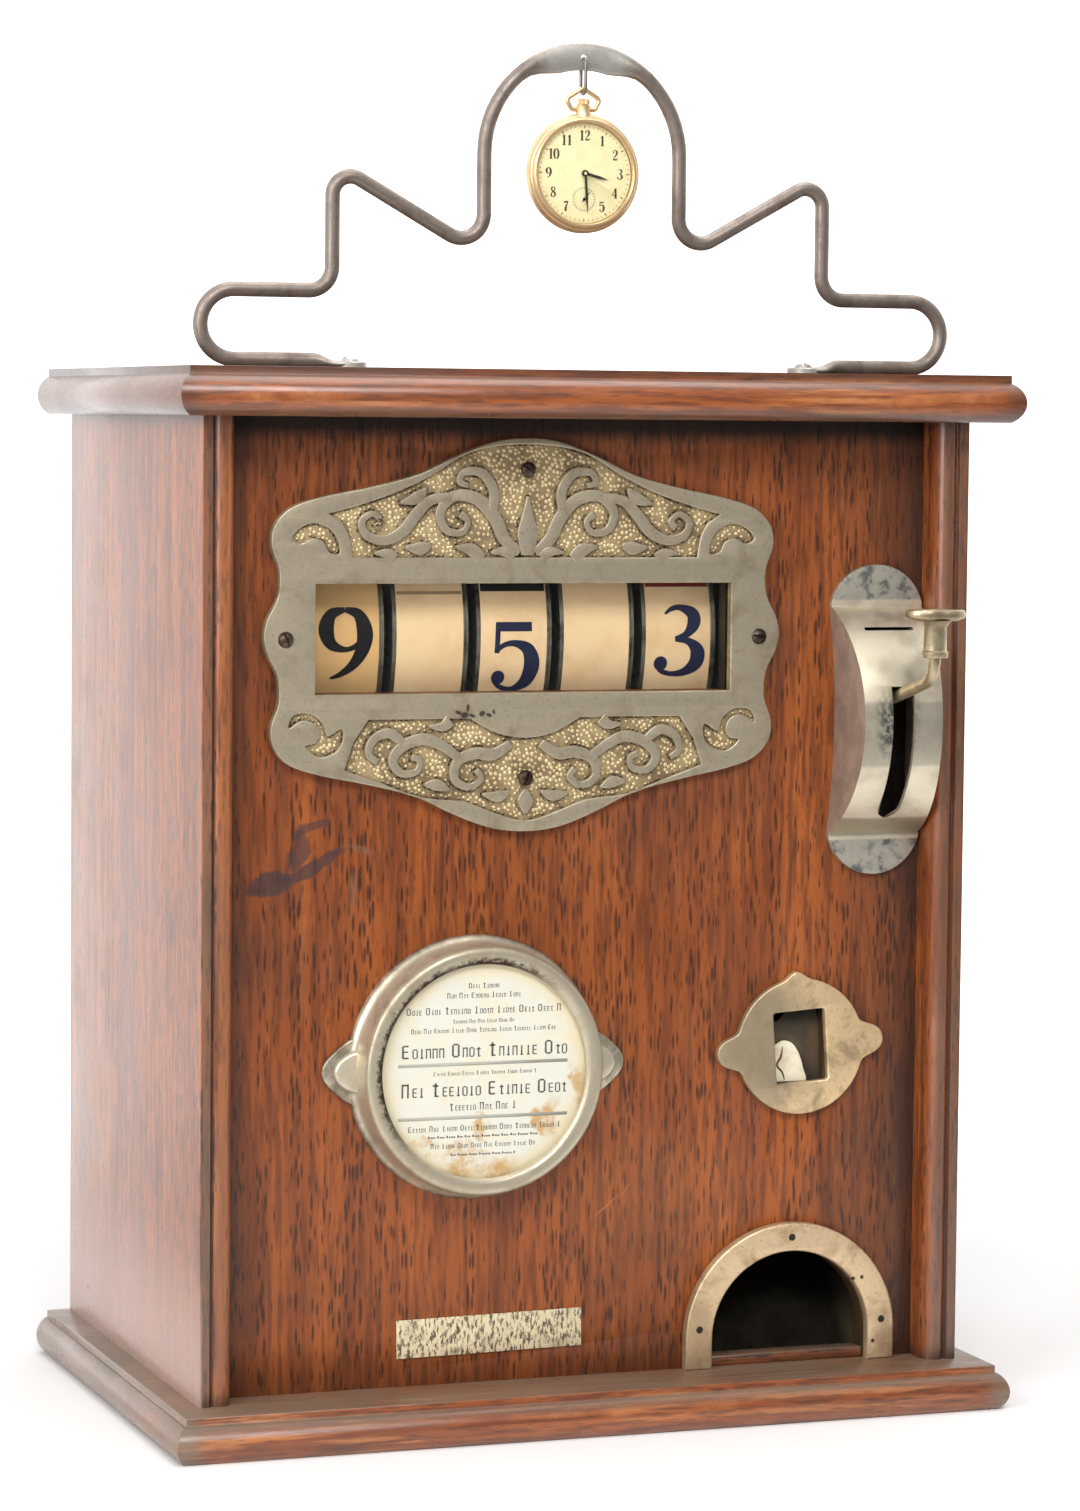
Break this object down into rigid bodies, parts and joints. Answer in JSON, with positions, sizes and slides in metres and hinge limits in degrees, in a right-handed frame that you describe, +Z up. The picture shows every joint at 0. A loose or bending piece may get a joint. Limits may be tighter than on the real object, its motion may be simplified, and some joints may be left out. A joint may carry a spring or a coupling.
{
  "type": "trade stimulator",
  "caption": "Counter-top trade stimulator: oak cabinet with number reels behind a cast plate, push-down coin lever, card bezel, payout arch, and a rod hanger showing a pocket watch.",
  "frame": {"origin": "underside of the base board, mid width, mid depth of the side boards", "axes": "+Z up, -Y out of the front, +X to the right as seen from the front"},
  "size_m": [0.333, 0.2549, 0.5215],
  "materials": {
    "oak": "varnished oak, worn",
    "pine": "plain inside wood",
    "nickel": "nickel plate, worn",
    "cast_plate": "cast, pale, stippled ground",
    "arch_metal": "stamped, tarnished",
    "tin": "thin sheet, worn",
    "steel": "drawn rod",
    "iron": "blackened",
    "sheet": "japanned sheet",
    "brass": "aged",
    "glass": "clear",
    "card": "printed card, yellowed",
    "reel": "tin drum with a paper strip",
    "leather": "kicker finger facing",
    "gold": "polished watch case",
    "enamel": "dial enamel",
    "blued": "blued steel"
  },
  "bodies": {
    "cabinet": {"base_board": "oak", "lid_board": "oak", "left_side_board": "oak", "right_side_board": "oak", "front_panel": "oak", "mechanism_shelf": "pine", "hinge_leaves_cabinet": "brass", "hinge_pins": "steel", "lock_strike": "iron", "number_plate": "cast_plate", "number_plate_screws": "nickel", "number_glass": "glass", "card_bezel": "nickel", "card_glass": "glass", "award_card": "card", "coin_view_plate": "nickel", "payout_arch": "arch_metal", "payout_nails": "iron", "payout_sill": "oak", "payout_chute": "sheet", "small_plate": "tin", "lever_guide": "nickel", "lever_brackets": "iron", "lever_spring": "steel", "pack_magazine": "sheet", "coin_chute": "sheet", "cash_box": "pine", "reel_frame_left": "iron", "reel_frame_right": "iron", "reel_shaft": "steel", "reel_spacers": "brass", "reel_brakes": "steel", "watch_hanger": "steel", "hanger_screws": "steel"},
    "lever": {"lever_shaft": "steel", "lever_arm": "nickel", "thumb_piece": "nickel"},
    "link": {"drive_link": "iron"},
    "kicker": {"kicker_shaft": "steel", "kicker_fingers": "leather", "kicker_cranks": "iron"},
    "pusher": {"vend_pusher": "steel"},
    "door": {"back_door": "oak", "hinge_leaves_door": "brass", "door_lock": "brass"},
    "lock": {"lock_cam": "steel"},
    "hook": {"watch_link": "steel"},
    "bow": {"watch_bow": "gold"},
    "watch": {"watch_case": "gold", "watch_dial": "enamel", "watch_crystal": "glass"},
    "crown": {"watch_crown": "gold"},
    "hour": {"hour_hand": "blued"},
    "minute": {"minute_hand": "blued"},
    "seconds": {"seconds_hand": "blued"},
    "number_reel_1": {"reel_1": "reel"},
    "number_reel_2": {"reel_2": "reel"},
    "number_reel_3": {"reel_3": "reel"},
    "number_reel_4": {"reel_4": "reel"},
    "number_reel_5": {"reel_5": "reel"}
  },
  "joints": [
    {"name": "lever_press", "type": "hinge", "parent": "cabinet", "child": "lever", "pos_m": [0.1195, -0.06663, 0.2664], "axis": [1, 0, 0], "range_deg": [0, 60], "stiffness_Nm_per_rad": 0.15, "springref_deg": -57.3},
    {"name": "link_swing", "type": "hinge", "parent": "lever", "child": "link", "pos_m": [0.0732, -0.04334, 0.27549], "axis": [1, 0, 0], "range_deg": [-60, 0]},
    {"name": "kicker_rock", "type": "hinge", "parent": "cabinet", "child": "kicker", "pos_m": [0.0689, 0.0101, 0.205], "axis": [1, 0, 0], "range_deg": [0, 60]},
    {"name": "vend_slide", "type": "slide", "parent": "cabinet", "child": "pusher", "axis": [0, -1, 0], "range_m": [0, 0.03]},
    {"name": "reel_1_spin", "type": "hinge", "parent": "cabinet", "child": "number_reel_1", "pos_m": [-0.0906, -0.0124, 0.299], "axis": [1, 0, 0], "continuous": true},
    {"name": "reel_2_spin", "type": "hinge", "parent": "cabinet", "child": "number_reel_2", "pos_m": [-0.0573, -0.0124, 0.299], "axis": [1, 0, 0], "continuous": true},
    {"name": "reel_3_spin", "type": "hinge", "parent": "cabinet", "child": "number_reel_3", "pos_m": [-0.024, -0.0124, 0.299], "axis": [1, 0, 0], "continuous": true},
    {"name": "reel_4_spin", "type": "hinge", "parent": "cabinet", "child": "number_reel_4", "pos_m": [0.0093, -0.0124, 0.299], "axis": [1, 0, 0], "continuous": true},
    {"name": "reel_5_spin", "type": "hinge", "parent": "cabinet", "child": "number_reel_5", "pos_m": [0.0426, -0.0124, 0.299], "axis": [1, 0, 0], "continuous": true},
    {"name": "door_swing", "type": "hinge", "parent": "cabinet", "child": "door", "pos_m": [-0.1391, 0.1026, 0.199], "axis": [0, 0, 1], "range_deg": [0, 110]},
    {"name": "lock_turn", "type": "hinge", "parent": "door", "child": "lock", "pos_m": [0.1185, 0.087, 0.199], "axis": [0, -1, 0], "range_deg": [0, 90]},
    {"name": "hook_swing", "type": "hinge", "parent": "cabinet", "child": "hook", "pos_m": [0, -0.079, 0.51575], "axis": [0, 1, 0], "range_deg": [-15, 15]},
    {"name": "bow_swing", "type": "hinge", "parent": "hook", "child": "bow", "pos_m": [0, -0.079, 0.50442], "axis": [1, 0, 0], "range_deg": [-20, 20]},
    {"name": "case_tilt", "type": "hinge", "parent": "bow", "child": "watch", "pos_m": [0, -0.079, 0.49675], "axis": [1, 0, 0], "range_deg": [-30, 30]},
    {"name": "crown_turn", "type": "hinge", "parent": "watch", "child": "crown", "pos_m": [0, -0.079, 0.49675], "axis": [0, 0, 1], "continuous": true},
    {"name": "seconds_turn", "type": "hinge", "parent": "watch", "child": "seconds", "pos_m": [0, -0.079, 0.46325], "axis": [0, 1, 0], "continuous": true},
    {"name": "minute_turn", "type": "hinge", "parent": "watch", "child": "minute", "pos_m": [0, -0.079, 0.47285], "axis": [0, 1, 0], "continuous": true},
    {"name": "hour_turn", "type": "hinge", "parent": "watch", "child": "hour", "pos_m": [0, -0.079, 0.47285], "axis": [0, 1, 0], "continuous": true}
  ],
  "couplings": [
    {"joint": "link_swing", "follows": "lever_press", "ratio": -1},
    {"joint": "kicker_rock", "follows": "lever_press", "ratio": 1},
    {"joint": "vend_slide", "follows": "lever_press", "m_per_rad": 0.02864},
    {"joint": "minute_turn", "follows": "seconds_turn", "ratio": 0.016667},
    {"joint": "hour_turn", "follows": "seconds_turn", "ratio": 0.0013889}
  ]
}
